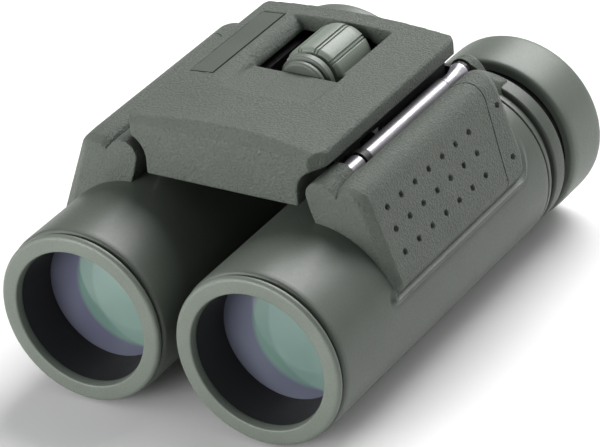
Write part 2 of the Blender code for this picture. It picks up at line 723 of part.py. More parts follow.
def make_chassis(parts, cutters, looks):
    """Frame plate with crossbars for the shaft bearings and lugs round the hinge pins."""
    low, high = HINGE_Z + 1.3, HINGE_Z + 4.3
    frame = block("chassis", (-14.2, 14.2), (station(33.4), station(71.4)), (low, high), parts,
                  looks["black_metal"])
    opening = block("chassis_opening", (-9.0, 9.0), (station(38.6), station(70.2)), (low - 1, high + 1),
                    cutters)
    boolean(frame, finish_cutter(opening))
    for name, stations in (("front_boss", (34.0, 38.2)), ("rear_boss", (70.4, 71.3))):
        boss = block(name, (-3.6, 3.6), [station(place) for place in stations], (low - 0.6, high + 1.5),
                     cutters)
        boolean(frame, finish_cutter(boss), "UNION")
    for side in (1, -1):
        for name, stations in (("front", FRONT_LUG), ("rear", REAR_LUG)):
            outline = [hinge_point(out, up, side) for out, up in lug_outline()]
            near, far = (station(place) for place in stations)
            lug = extruded(name + "_lug", outline, "Y", near, far, cutters)
            boolean(frame, finish_cutter(lug), "UNION")
        tail = block("rear_tail", (side * 13.4, side * 15.2), (station(70.8), station(REAR_LUG[0] + 0.4)),
                     (HINGE_Z - 0.7, high - 0.4), cutters)
        boolean(frame, finish_cutter(tail), "UNION")
        bore = rod("lug_bore", hinge_point(0, 0, side), SLEEVE_BORE_R, (30, 80), cutters)
        boolean(frame, finish_cutter(bore))
    shaft_bore = rod("bearing_bore", (0, HINGE_Z + WHEEL_RISE), 2.0, (30, 80), cutters)
    boolean(frame, finish_cutter(shaft_bore))
    for spot in screw_spots():
        hole = rod("chassis_screw_hole", spot, 0.95, (0, LENGTH), cutters, segments=8)
        stand_up(hole, spot)
        boolean(frame, finish_cutter(hole))
    return frame


def make_focus_drive(parts, cutters, looks):
    """Wheel, hub and screw, and the carriage with its two sleeves on the hinge pins."""
    axis = (0, HINGE_Z + WHEEL_RISE)
    grip = []
    groove = math.degrees(0.42 / WHEEL_R)
    pitch = 360 / WHEEL_RIBS
    for rib in range(WHEEL_RIBS):
        start = rib * pitch + groove
        grip += arc(axis, WHEEL_R, start, start + pitch - 2 * groove, 3)
        grip += arc(axis, WHEEL_R - 0.55, start + pitch - 2 * groove + 1.5, start + pitch - 1.5, 1)
    tyre = extruded("focus_wheel", grip, "Y", station(WHEEL[0]), station(WHEEL[1]), parts, looks["wheel"])
    bore = rod("wheel_bore", axis, 2.9, (50, 72), cutters, segments=24)
    boolean(tyre, finish_cutter(bore))
    hub_profile = [
        (1.5, 51.9), (3.9, 51.9), (3.9, 52.7), (2.6, 52.7), (2.6, 53.4), (5.3, 53.4), (5.3, 55.5),
        (2.6, 55.5), (2.6, 69.3), (1.5, 69.3),
    ]
    hub = turned("focus_hub", hub_profile, axis, parts, looks["ring"], INNER_SEGMENTS)
    screw_profile = [(0, 34.4), (SHAFT_R, 34.4), (SHAFT_R, 39.0), (1.35, 39.2), (1.35, 50.6), (SHAFT_R, 50.8),
                     (SHAFT_R, 71.5), (0, 71.5)]
    screw = turned("focus_screw", screw_profile, axis, parts, looks["steel"], 16)
    front = ring("front_bearing", axis, 1.75, 1.35, (34.6, 37.6), parts, looks["brass"], 16)
    rear = ring("rear_bearing", axis, 1.75, 1.35, (70.0, 71.3), parts, looks["brass"], 16)

    arm_z = (HINGE_Z - 1.2, HINGE_Z + 0.9)
    places = [station(place) for place in CARRIAGE]
    carriage = block("focus_carriage", (-18.7, 18.7), places, arm_z, parts, looks["black_metal"])
    nut = rod("carriage_nut", axis, 2.2, CARRIAGE, cutters, segments=16)
    neck = block("carriage_neck", (-1.9, 1.9), places, (HINGE_Z - 1.0, HINGE_Z + WHEEL_RISE), cutters)
    for cutter in (nut, neck):
        boolean(carriage, finish_cutter(cutter), "UNION")
    thread = rod("carriage_thread", axis, 1.5, (40, 48), cutters)
    boolean(carriage, finish_cutter(thread))
    sleeves = []
    for side, label in ((1, "left"), (-1, "right")):
        sleeves.append(ring(label + "_focus_sleeve", hinge_point(0, 0, side), SLEEVE_R, SLEEVE_BORE_R,
                            (SLEEVE_START, SLEEVE_END), parts, looks["chrome"], 16))
    return {"wheel": [tyre, hub, screw], "bearings": [front, rear], "carriage": [carriage] + sleeves}


# ---------------------------------------------------------------- assembly

def pivot(name, place, parent, parts):
    """An empty on a joint's axis, which the moving pieces hang from."""
    made = bpy.data.objects.new(name, None)
    made.empty_display_size = 0.01
    parts.objects.link(made)
    made.parent = parent
    made.location = [value * MM for value in place]
    if parent:
        made.location = made.location - parent.matrix_world.translation
    bpy.context.view_layer.update()
    return made


def attach(pieces, parent):
    """Parent pieces to an empty and leave them where they are."""
    for piece in pieces:
        piece.parent = parent
        piece.matrix_parent_inverse = parent.matrix_world.inverted()


def main():
    clear_scene()
    parts = new_collection("binoculars")
    cutters = new_collection("cutters")
    green = (0.115, 0.135, 0.12)
    looks = {
        "grained": make_material("grained_rubber", green, 0.62),
        "armour": make_material("smooth_rubber", green, 0.42),
        "ring": make_material("painted_ring", green, 0.38),
        "eyecup": make_material("eyecup_rubber", green, 0.45),
        "wheel": make_material("wheel_rubber", (0.16, 0.18, 0.165), 0.4),
        "black_metal": make_material("black_anodised", (0.012, 0.012, 0.012), 0.4, 0.6),
        "black_plastic": make_material("black_plastic", (0.015, 0.015, 0.015), 0.5),
        "chrome": make_material("polished_steel", (0.75, 0.75, 0.77), 0.12, 1.0),
        "steel": make_material("steel", (0.5, 0.5, 0.52), 0.3, 1.0),
        "brass": make_material("brass", (0.65, 0.47, 0.2), 0.3, 1.0),
        "glass": make_material("glass", (0.9, 0.95, 0.93), 0.02, 0.0, 0.35),
        "coated_glass": make_material("coated_glass", (0.25, 0.42, 0.36), 0.03, 0.0, 0.6),
    }

    bridge = pivot("bridge_frame", (0, 0, HINGE_Z), None, parts)
    fixed = [make_top_cover(parts, cutters, looks), make_bottom_cover(parts, cutters, looks),
             make_chassis(parts, cutters, looks),
             plate_block("nameplate", GAP, -0.5, -0.05, parts, looks["ring"])]
    fixed += make_cover_screws(parts, looks)
    drive = make_focus_drive(parts, cutters, looks)
    attach(fixed + drive["bearings"], bridge)
    wheel_axis = pivot("wheel_axis", (0, station(61), HINGE_Z + WHEEL_RISE), bridge, parts)
    attach(drive["wheel"], wheel_axis)
    carriage_axis = pivot("carriage_axis", (0, station(44), HINGE_Z), bridge, parts)
    attach(drive["carriage"], carriage_axis)

    for side, label in ((1, "left"), (-1, "right")):
        x, z = hinge_point(0, 0, side)
        hinge = pivot(label + "_hinge_axis", (x, station(50), z), bridge, parts)
        pieces = make_wings(side, label, parts, cutters, looks["grained"])
        pieces += make_tube(side, label, parts, cutters, looks)
        pieces += make_prisms(side, label, parts, cutters, looks)
        pieces.append(make_hinge_pin(side, label, parts, looks))
        eyepiece = make_eyepiece(side, label, parts, looks)
        pieces += eyepiece["fixed"]
        centre_x, centre_z = tube_centre(side)
        if side > 0:
            pieces.append(eyepiece["collar"])
            pieces += eyepiece["field"]
        attach(pieces, hinge)
        if side < 0:
            dioptre = pivot("dioptre_axis", (centre_x, station(85), centre_z), hinge, parts)
            attach([eyepiece["collar"]], dioptre)
            field = pivot("dioptre_lens_axis", (centre_x, station(85), centre_z), hinge, parts)
            attach(eyepiece["field"], field)
        objective = pivot(label + "_objective_axis", (centre_x, station(10), centre_z), hinge, parts)
        attach(make_objective(side, label, parts, cutters, looks), objective)
        guide = pivot(label + "_eyecup_axis", (centre_x, station(92), centre_z), hinge, parts)
        attach([eyepiece["sleeve"]], guide)
        cup = pivot(label + "_eyecup_slide", (centre_x, station(92), centre_z), guide, parts)
        attach([eyepiece["cup"]], cup)

    for made in parts.objects:
        if made.type == "MESH":
            smooth(made)


main()
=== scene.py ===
import math

import bmesh
import bpy
from mathutils import Matrix, Vector
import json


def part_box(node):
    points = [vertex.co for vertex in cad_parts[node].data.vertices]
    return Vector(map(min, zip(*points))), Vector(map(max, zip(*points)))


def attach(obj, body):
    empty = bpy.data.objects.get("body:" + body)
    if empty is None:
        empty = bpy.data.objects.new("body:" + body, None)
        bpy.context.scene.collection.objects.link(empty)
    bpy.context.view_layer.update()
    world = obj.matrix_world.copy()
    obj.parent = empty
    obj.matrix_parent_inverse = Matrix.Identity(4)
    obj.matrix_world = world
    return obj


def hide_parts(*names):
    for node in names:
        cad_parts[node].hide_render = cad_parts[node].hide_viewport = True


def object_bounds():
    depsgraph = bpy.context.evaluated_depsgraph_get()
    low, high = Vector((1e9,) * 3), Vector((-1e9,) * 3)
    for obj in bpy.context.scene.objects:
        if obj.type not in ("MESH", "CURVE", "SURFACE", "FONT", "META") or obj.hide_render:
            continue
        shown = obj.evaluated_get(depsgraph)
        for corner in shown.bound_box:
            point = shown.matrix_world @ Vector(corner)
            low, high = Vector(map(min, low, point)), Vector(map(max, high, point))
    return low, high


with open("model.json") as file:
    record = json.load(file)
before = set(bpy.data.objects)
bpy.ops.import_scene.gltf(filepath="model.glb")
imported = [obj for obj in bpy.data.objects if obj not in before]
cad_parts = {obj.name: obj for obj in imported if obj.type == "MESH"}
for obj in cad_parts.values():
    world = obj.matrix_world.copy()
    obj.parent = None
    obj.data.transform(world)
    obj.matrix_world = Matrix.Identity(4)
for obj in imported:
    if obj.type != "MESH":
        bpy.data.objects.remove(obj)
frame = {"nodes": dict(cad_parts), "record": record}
CAD_LOW, CAD_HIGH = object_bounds()

# Lengths are millimetres, and MM turns them into metres. A station is a distance behind the
# front face. Places on a hinge section are (out, up) from the hinge line of their side.
MM = 0.001


def middle(node):
    low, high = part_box(node)
    return (low + high) / 2 / MM


LENGTH = (CAD_HIGH.y - CAD_LOW.y) / MM
TUBE_X = middle("left_front_ring").x
TUBE_Z = middle("left_front_ring").z
HINGE_X = middle("left_hinge_pin").x
HINGE_Z = middle("left_hinge_pin").z
HINGE_RISE = HINGE_Z - TUBE_Z
AXIS_OUT = TUBE_X - HINGE_X
TUBE_R = 17.3
SIDES = ((1, "left"), (-1, "right"))

scene = bpy.context.scene
scene.view_settings.view_transform = "Standard"


def world_y(station):
    return station * MM + CAD_LOW.y


# ---------------------------------------------------------------- materials

def node_material(name):
    made = bpy.data.materials.new(name)
    made.use_nodes = True
    tree = made.node_tree
    return made, tree, tree.nodes["Principled BSDF"]


def noise(tree, scale, detail=2.0, rough=0.5, distortion=0.0, stretch=None):
    """A noise texture in object space, which is in metres."""
    place = tree.nodes.new("ShaderNodeTexCoord")
    source = place.outputs["Object"]
    if stretch:
        mapping = tree.nodes.new("ShaderNodeMapping")
        mapping.inputs["Scale"].default_value = stretch
        tree.links.new(source, mapping.inputs["Vector"])
        source = mapping.outputs["Vector"]
    texture = tree.nodes.new("ShaderNodeTexNoise")
    texture.inputs["Scale"].default_value = scale
    texture.inputs["Detail"].default_value = detail
    texture.inputs["Roughness"].default_value = rough
    texture.inputs["Distortion"].default_value = distortion
    tree.links.new(source, texture.inputs["Vector"])
    return texture.outputs["Fac"]


def ramp(tree, source, stops):
    """Colours by a factor, from stops of (factor, colour)."""
    made = tree.nodes.new("ShaderNodeValToRGB")
    elements = made.color_ramp.elements
    while len(elements) < len(stops):
        elements.new(0.5)
    for element, (place, colour) in zip(elements, stops):
        element.position = place
        element.color = (*colour, 1.0)
    tree.links.new(source, made.inputs["Fac"])
    return made.outputs["Color"]


def spread(tree, source, low, high, start=0.3, end=0.7):
    """A factor's range from start to end, mapped on to low to high."""
    made = tree.nodes.new("ShaderNodeMapRange")
    made.inputs["From Min"].default_value = start
    made.inputs["From Max"].default_value = end
    made.inputs["To Min"].default_value = low
    made.inputs["To Max"].default_value = high
    tree.links.new(source, made.inputs["Value"])
    return made.outputs["Result"]


def multiply(tree, first, second):
    made = tree.nodes.new("ShaderNodeMix")
    made.data_type = "RGBA"
    made.blend_type = "MULTIPLY"
    made.inputs["Factor"].default_value = 1.0
    tree.links.new(first, made.inputs["A"])
    tree.links.new(second, made.inputs["B"])
    return made.outputs["Result"]


def bump(tree, shader, source, distance, strength=1.0, below=None):
    """Bump from a factor, on top of another bump's normal where one is given."""
    made = tree.nodes.new("ShaderNodeBump")
    made.inputs["Distance"].default_value = distance
    made.inputs["Strength"].default_value = strength
    tree.links.new(source, made.inputs["Height"])
    if below:
        tree.links.new(below, made.inputs["Normal"])
    tree.links.new(made.outputs["Normal"], shader.inputs["Normal"])
    return made.outputs["Normal"]


def scaled(colour, factor):
    return tuple(channel * factor for channel in colour)


FINE_GRAIN = 2.7
FINE_DEPTH = 0.35


def grained(name, colour, roughness, grain, depth, contrast):
    """Moulded rubber or plastic: a slow drift of tone, a fine grain, and bump from the grain."""
    made, tree, shader = node_material(name)
    slow = noise(tree, 90.0, 2.0)
    grains = noise(tree, grain, 3.0, 0.62, 0.4)
    drift = ramp(tree, slow, [(0.3, scaled(colour, 0.94)), (0.7, scaled(colour, 1.06))])
    speckle = ramp(tree, grains, [(0.32, (1 - contrast,) * 3), (0.68, (1 + contrast,) * 3)])
    tree.links.new(multiply(tree, drift, speckle), shader.inputs["Base Color"])
    tree.links.new(spread(tree, grains, roughness + 0.06, roughness - 0.05), shader.inputs["Roughness"])
    shader.inputs["Specular IOR Level"].default_value = 0.45
    under = bump(tree, shader, grains, depth)
    bump(tree, shader, noise(tree, grain * FINE_GRAIN, 1.0), depth * FINE_DEPTH, 0.8, under)
    return made


def glossy_metal(name, colour, roughness, stretch, metallic=1.0):
    """Polished or turned metal with faint marks, drawn out by stretch."""
    made, tree, shader = node_material(name)
    marks = noise(tree, 900.0, 3.0, 0.6, 0.0, stretch)
    tone = ramp(tree, marks, [(0.3, scaled(colour, 0.82)), (0.7, colour)])
    tree.links.new(tone, shader.inputs["Base Color"])
    tree.links.new(spread(tree, marks, roughness * 0.7, roughness * 1.4), shader.inputs["Roughness"])
    shader.inputs["Metallic"].default_value = metallic
    bump(tree, shader, marks, 0.000001)
    return made


def black_finish(name, tone, roughness, metallic, depth=0.00001):
    """Black paint, plastic or anodising with small specks."""
    made, tree, shader = node_material(name)
    specks = noise(tree, 1800.0, 3.0, 0.6)
    colour = ramp(tree, specks, [(0.3, (tone * 0.7,) * 3), (0.7, (tone * 1.5,) * 3)])
    tree.links.new(colour, shader.inputs["Base Color"])
    tree.links.new(spread(tree, specks, roughness - 0.05, roughness + 0.08), shader.inputs["Roughness"])
    shader.inputs["Metallic"].default_value = metallic
    bump(tree, shader, specks, depth)
    return made


def glass_surface(shader):
    """The sockets that all the glass shares."""
    shader.inputs["IOR"].default_value = 1.5
    shader.inputs["Coat Weight"].default_value = 0.3
    shader.inputs["Coat Roughness"].default_value = 0.03


def tinted_glass(name, low_tone, high_tone, alpha):
    """Glass whose tint drifts slowly from one side to the other."""
    made, tree, shader = node_material(name)
    slow = noise(tree, 55.0, 1.0, 0.4)
    tint = ramp(tree, slow, [(0.35, low_tone), (0.65, high_tone)])
    tree.links.new(tint, shader.inputs["Base Color"])
    tree.links.new(spread(tree, slow, 0.048, 0.078), shader.inputs["Roughness"])
    shader.inputs["Alpha"].default_value = alpha
    glass_surface(shader)
    return made


GREEN = (0.086, 0.1, 0.084)
LOOKS = {
    "grained_cover": grained("grained_cover_rubber", GREEN, 0.48, 2100.0, 0.00042, 0.09),
    "armour_rubber": grained("armour_rubber", scaled(GREEN, 0.93), 0.42, 2600.0, 0.000012, 0.05),
    # The eyecups' rubber is a lit copy of the deck's green, 1.35 times as light: painted light for the top
    # light on the eyecups.
    "eyecup_rubber": grained("eyecup_rubber", scaled(GREEN, 1.35), 0.42, 2600.0, 0.000014, 0.05),
    # The wheel's rubber is lighter than the deck's, and part of its 2.2 times lightness is painted light
    # standing in for the highlight on its top.
    "wheel_rubber": grained("wheel_rubber", scaled(GREEN, 2.2), 0.4, 2400.0, 0.00002, 0.05),
    # The painted rings are a lit copy of the deck's green, 1.4 times as light: painted light for the light
    # falling on the front rings' faces.
    "painted_ring": grained("painted_ring", scaled(GREEN, 1.4), 0.42, 2400.0, 0.00002, 0.07),
    "black_metal": black_finish("black_anodised", 0.012, 0.38, 0.6),
    "black_plastic": black_finish("black_moulded_plastic", 0.016, 0.48, 0.0, 0.00003),
    "chrome": glossy_metal("polished_chrome", (0.4, 0.39, 0.42), 0.34, (1.0, 0.05, 1.0), 0.7),
    "steel": glossy_metal("turned_steel", (0.5, 0.5, 0.52), 0.26, (1.0, 8.0, 1.0)),
    "brass": glossy_metal("turned_brass", (0.65, 0.47, 0.2), 0.28, (1.0, 8.0, 1.0)),
    "prism_glass": tinted_glass("prism_glass", (0.75, 0.85, 0.82), (0.85, 0.92, 0.9), 0.35),
    "coated_glass": tinted_glass("coated_eye_lens", (0.02, 0.03, 0.035), (0.05, 0.075, 0.09), 0.75),
}
# The collar's paint is a shaded copy of the deck's green, 0.72 times as light: painted shade for the collar's
# shadow under the eyecup and the wing.
SHADED_COLLAR_PAINT = grained("collar_paint_with_painted_shade", scaled(GREEN, 0.72), 0.46, 2600.0, 0.000014, 0.05)
RECESS = black_finish("recess_wall", 0.011, 0.55, 0.0, 0.000005)
NAMEPLATE = grained("nameplate_paint", scaled(GREEN, 0.86), 0.4, 2600.0, 0.00001, 0.04)


# ---------------------------------------------------------------- mesh helpers

def finish_mesh(name, cage, angle=32.0):
    bmesh.ops.recalc_face_normals(cage, faces=cage.faces)
    mesh = bpy.data.meshes.new(name)
    cage.to_mesh(mesh)
    cage.free()
    mesh.shade_smooth()
    mesh.set_sharp_from_angle(angle=math.radians(angle))
    return mesh


def piece(name, mesh, body, slot, nodes=(), material=None):
    """Put a mesh in the scene, riding on a CAD body and standing for CAD nodes."""
    made = bpy.data.objects.new(name, mesh)
    scene.collection.objects.link(made)
    mesh.materials.clear()
    mesh.materials.append(material or LOOKS[slot])
    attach(made, body)
    if nodes:
        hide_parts(*nodes)
    return made


def soften(points, closed):
    """Round the corners of a (radius, station, rounding) profile."""
    steps = 5
    made = []
    count = len(points)
    for index, (radius, place, rounding) in enumerate(points):
        here = Vector((radius, place))
        if rounding <= 0 or (not closed and index in (0, count - 1)):
            made.append((here.x, here.y))
            continue
        before = Vector(points[index - 1][:2]) - here
        after = Vector(points[(index + 1) % count][:2]) - here
        start = here + before.normalized() * min(rounding, before.length * 0.49)
        end = here + after.normalized() * min(rounding, after.length * 0.49)
        for step in range(steps + 1):
            t = step / steps
            spot = start * (1 - t) ** 2 + here * (2 * t * (1 - t)) + end * t * t
            made.append((spot.x, spot.y))
    return made


def lathe(name, points, centre, segments, closed=True, radius_at=None, angle=32.0):
    """Turn a profile about an axis along Y through centre (x, z).

    radius_at(turn, station, radius) may push each point in or out. Edges sharper than angle stay sharp.
    """
    profile = soften(points, closed)
    cage = bmesh.new()
    rings = []
    for radius, place in profile:
        if radius < 1e-6:
            rings.append([cage.verts.new((centre[0] * MM, world_y(place), centre[1] * MM))])
            continue
        ring = []
        for step in range(segments):
            turn = math.tau * step / segments
            reach = radius_at(turn, place, radius) if radius_at else radius
            x = centre[0] + reach * math.cos(turn)
            z = centre[1] + reach * math.sin(turn)
            ring.append(cage.verts.new((x * MM, world_y(place), z * MM)))
        rings.append(ring)
    pairs = list(zip(rings, rings[1:]))
    if closed:
        pairs.append((rings[-1], rings[0]))
    for near, far in pairs:
        for step in range(segments):
            following = (step + 1) % segments
            if len(near) == 1:
                cage.faces.new((near[0], far[following], far[step]))
            elif len(far) == 1:
                cage.faces.new((near[step], near[following], far[0]))
            else:
                cage.faces.new((near[step], near[following], far[following], far[step]))
    return finish_mesh(name, cage, angle)


def turned(name, points, centre, segments, body, slot, nodes=(), material=None, closed=True):
    """Lathe a profile and put it in the scene as a piece."""
    piece(name, lathe(name, points, centre, segments, closed), body, slot, nodes, material)


def arc(centre, radius, start, end, count):
    """Points from start up to end, in degrees."""
    made = []
    for step in range(count + 1):
        turn = math.radians(start + (end - start) * step / count)
        made.append((centre[0] + radius * math.cos(turn), centre[1] + radius * math.sin(turn)))
    return made


def line(start, end, count):
    """Points from start up to, but without, end."""
    return [tuple(a + (b - a) * step / count for a, b in zip(start, end)) for step in range(count)]


def ease(value):
    value = min(1.0, max(0.0, value))
    return value * value * (3 - 2 * value)


def mirrored(mesh, name):
    """The same mesh on the other side of the middle plane."""
    made = mesh.copy()
    made.name = name
    made.transform(Matrix.Scale(-1, 4, (1, 0, 0)))
    made.flip_normals()
    return made


def remade(node, name, voxel, rounds, cutters):
    """A CAD node's shape, less the cutters, with soft moulded edges, in a new mesh."""
    source = frame["nodes"][node]
    work = bpy.data.objects.new(name, source.data.copy())
    scene.collection.objects.link(work)
    for cutter in cutters:
        cut = work.modifiers.new("cut", "BOOLEAN")
        cut.object = cutter
        cut.operation = "DIFFERENCE"
        cut.solver = "EXACT"
    cells = work.modifiers.new("cells", "REMESH")
    cells.mode = "VOXEL"
    cells.voxel_size = voxel * MM
    soft = work.modifiers.new("soft", "SMOOTH")
    soft.factor = 0.5
    soft.iterations = rounds
    bpy.context.view_layer.update()
    shaped = work.evaluated_get(bpy.context.evaluated_depsgraph_get())
    made = bpy.data.meshes.new_from_object(shaped)
    made.name = name
    bpy.data.objects.remove(work, do_unlink=True)
    for cutter in cutters:
        bpy.data.objects.remove(cutter, do_unlink=True)
    made.shade_smooth()
    return made


# ---------------------------------------------------------------- wing

# The front face grows out to the grip panel and to the rounded shoulder above it.
WING_FRONT = 21.8
CHAMFER_END = 23.2
ROUND_END = 25.8
PANEL_OFFSET = 1.5
PANEL_SLOPE = math.radians(19.4)
PANEL_DISTANCE = 17.1
PANEL_COLUMNS = 80
SHOULDER = (5.65, -1.1)
SHOULDER_R = 2.65
SHOULDER_COLUMNS = 20

# The wing's lower edge and its underside, with the corner that is rounded at the front.
WING_LOW_DEGREES = 17.5
WING_LOW = math.radians(WING_LOW_DEGREES)
CORNER_R = 1.9
CORNER_SPAN = 14.0
UNDER_R = 17.0
UNDER_INSET = 1.2

# The knuckles, which are round about the hinge, with an open trench from one to the other. HAIR
# keeps the two sections at each end of it apart.
KNUCKLE_END = 30.1
REAR_KNUCKLE = (75.4, 77.0)
FRONT_KNUCKLE_R = 3.0
REAR_KNUCKLE_R = 2.45
HAIR = 0.01
ROW_STEP = 0.2
FACE_ROWS = (0, 0.02, 0.08, 0.17, 0.3)
FACE_INSETS = {0: 0.3, 1: 0.2, 2: 0.1, 3: 0.03}
FRONT_ROWS_END = 60.0

# Behind the grip panel the wing fades down to the barrel, the higher the later.
FADE_END = 70.6
FADE_LENGTH = 3.6
FADE_LEAN = 0.13
FADE_BEND = 0.0005
FADE_ANGLE = 10
LAST_FADE = 70.2
WING_END = 85.6
COVER_R = 17.6
COVER_ANGLE = 65
CREST_ANGLE = 66
SUNK_R = 17.1
TUCK = 1.2
TUCK_START = 77.4
TUCK_LENGTH = 1.4

# The joint between the two castings, and the dimples in the panel.
SEAM = 0.3
SEAM_PANEL = 66.3
SEAM_SLANT = 3.0 / 16.2
SEAM_TURN = 7.8
SEAM_TURN_WIDTH = 4.3
SEAM_KNUCKLE = 62.1
SEAM_UNDER = 63.1
SEAM_UNDER_SPAN = 69.4
PIT_R = 0.62
PIT_DEPTH = 1.35
PIT_START = 27.4
PIT_PITCH = 5.1
PIT_COLUMNS = 7
PIT_ROWS = (-2.4, -6.5, -10.8)
PITS = [(PIT_START + PIT_PITCH * column, row) for row in PIT_ROWS for column in range(PIT_COLUMNS)]
PITS += [(69.3, -2.3), (68.0, -11.8)]


def soft_step(value, width=0.18):
    """Rises as value does and levels off at 1, with a rounded corner."""
    if value <= 1 - width:
        return value
    if value >= 1 + width:
        return 1.0
    return 1 - (1 + width - value) ** 2 / (4 * width)


def growths(place):
    """How far the panel and the shoulder stand out from the front face's outline."""
    panel = soft_step((place - WING_FRONT) / (CHAMFER_END - WING_FRONT))
    shoulder = soft_step((place - WING_FRONT) / (ROUND_END - WING_FRONT), 0.4)
    return PANEL_OFFSET * panel, PANEL_OFFSET * (0.35 * panel + 0.65 * shoulder)


def trench_top():
    """The trench that the chrome sleeve lies in: its floor, and its wall on the barrel's side."""
    floor = line((-2.5, -2.45), (-0.4, -2.45), 7)
    bend = line((-0.4, -2.45), (0.6, -2.35), 3) + line((0.6, -2.35), (1.5, -1.95), 4)
    wall = line((1.5, -1.95), (2.2, -1.1), 4) + line((2.2, -1.1), (3.35, 0.9), 6)
    return floor + bend + wall + [(3.35, 0.9)]


def wing_section(growth, shoulder_growth, knuckle_r, trench):
    """Closed outline as (out, up, kind): knuckle, top, panel or under."""
    made = []
    flank = line((-1.2, -5.9), (-1.2, -7.0), 2)[::-1]
    flank += line((-1.2, -5.9), (-2.55, -2.3), 6)
    made += [(*spot, "knuckle") for spot in flank]
    if trench:
        crest = trench_top()
        notch = (3.55, 1.7)
        first = 117.0
    else:
        crest = arc((0, 0), knuckle_r, 188, 38, 24)
        notch = (3.6 - 0.55 * shoulder_growth, 0.5 + 0.55 * shoulder_growth)
        first = 140 - 8 * shoulder_growth
    made += [(*spot, "knuckle") for spot in crest]
    made.append((*notch, "top"))
    start = math.radians(first)
    for step in range(SHOULDER_COLUMNS + 1):
        share = step / SHOULDER_COLUMNS
        turn = start + (PANEL_SLOPE - start) * share
        radius = SHOULDER_R + shoulder_growth + (growth - shoulder_growth) * share
        made.append((SHOULDER[0] + radius * math.cos(turn), SHOULDER[1] + radius * math.sin(turn), "top"))
    distance = PANEL_DISTANCE + growth
    tangent = (AXIS_OUT + distance * math.cos(PANEL_SLOPE), -HINGE_RISE + distance * math.sin(PANEL_SLOPE))
    roll = (tangent[0] - 0.25 + 0.1 * growth, tangent[1] + 0.45 * growth + 0.45)
    foot = (AXIS_OUT + UNDER_R * math.cos(WING_LOW), -HINGE_RISE + UNDER_R * math.sin(WING_LOW))
    panel = line(made[-1][:2], roll, PANEL_COLUMNS)
    made += [(*spot, "panel") for spot in panel[1:-3]]
    start_roll = panel[-3]
    for step in range(7):
        t = step / 6
        spot = [a * (1 - t) ** 2 + b * 2 * t * (1 - t) + c * t * t for a, b, c in zip(start_roll, roll, foot)]
        made.append((*spot, "panel"))
    inner = math.degrees(math.acos((HINGE_X - TUBE_X - UNDER_INSET) / UNDER_R))
    under = arc((AXIS_OUT, -HINGE_RISE), UNDER_R, WING_LOW_DEGREES + 2, inner, 24)
    made += [(*spot, "under") for spot in under]
    return made


def polar(out, up):
    """Distance from the barrel's axis, and the angle round it in degrees."""
    across = out - AXIS_OUT
    rise = up + HINGE_RISE
    return math.hypot(across, rise), math.degrees(math.atan2(rise, across))


def from_polar(reach, angle):
    """The section point at a distance from the barrel's axis and an angle round it."""
    turn = math.radians(angle)
    return AXIS_OUT + reach * math.cos(turn), reach * math.sin(turn) - HINGE_RISE


def sunk(out, up, kind, place):
    """A section point behind the grip panel, sunk smoothly towards the barrel."""
    reach, angle = polar(out, up)
    floor_r = SUNK_R - TUCK * ease((place - TUCK_START) / TUCK_LENGTH)
    if kind == "under":
        return from_polar(reach - (SUNK_R - floor_r), angle)
    landing = floor_r + (COVER_R - floor_r) * ease((angle - COVER_ANGLE) / 7)
    if reach <= landing:
        return out, up
    above = angle - FADE_ANGLE
    end = FADE_END + FADE_LEAN * above + FADE_BEND * max(0, above) ** 2
    start = REAR_KNUCKLE[1] if kind == "knuckle" else min(end - FADE_LENGTH, LAST_FADE)
    end += (WING_END - end) * ease((angle - CREST_ANGLE) / 6)
    reach = landing + (reach - landing) * (1 - ease((place - start) / (end - start)))
    return from_polar(reach, angle)


def seam_place(out, up, kind):
    """Station of the joint between the two castings, at a section point."""
    if kind == "panel":
        return SEAM_PANEL + SEAM_SLANT * min(up, 0)
    if kind == "top":
        share = min(1.0, max(0.0, (SEAM_TURN - out) / SEAM_TURN_WIDTH))
        return SEAM_PANEL - (SEAM_PANEL - SEAM_KNUCKLE) * (1 - math.sqrt(1 - share * share))
    if kind == "knuckle":
        return SEAM_KNUCKLE
    share = min(1.0, max(0.0, (polar(out, up)[1] - WING_LOW_DEGREES) / SEAM_UNDER_SPAN))
    return SEAM_UNDER - (SEAM_UNDER - SEAM_KNUCKLE) * share


def pitted(out, up, place):
    """Push a panel point in where it falls in one of the dimples."""
    for pit_place, pit_up in PITS:
        across = (up - pit_up) / math.cos(PANEL_SLOPE)
        far = math.hypot(place - pit_place, across) / PIT_R
        if far < 1:
            depth = PIT_DEPTH * (1 - far * far)
            return out - depth * math.cos(PANEL_SLOPE), up - depth * math.sin(PANEL_SLOPE)
    return out, up


def shrunk(outline, amount):
    """Draw an outline in by a small amount, for the rounding of an end face."""
    made = []
    count = len(outline)
    for index in range(count):
        before = Vector(outline[index - 2][:2])
        after = Vector(outline[(index + 2) % count][:2])
        along = (after - before).normalized()
        made.append((outline[index][0] + along.y * amount, outline[index][1] - along.x * amount))
    return made


def front_rows():
    """Stations of the front casting's sections, close together on its rounded front face."""
    rows = [WING_FRONT + value for value in FACE_ROWS]
    first = WING_FRONT + 0.5
    rows += [first + ROW_STEP * step for step in range(int((KNUCKLE_END - first - 0.1) / ROW_STEP) + 1)]
    rows += [KNUCKLE_END - HAIR, KNUCKLE_END + HAIR]
    place = KNUCKLE_END + ROW_STEP
    while place < FRONT_ROWS_END:
        rows.append(place)
        place += ROW_STEP
    return rows


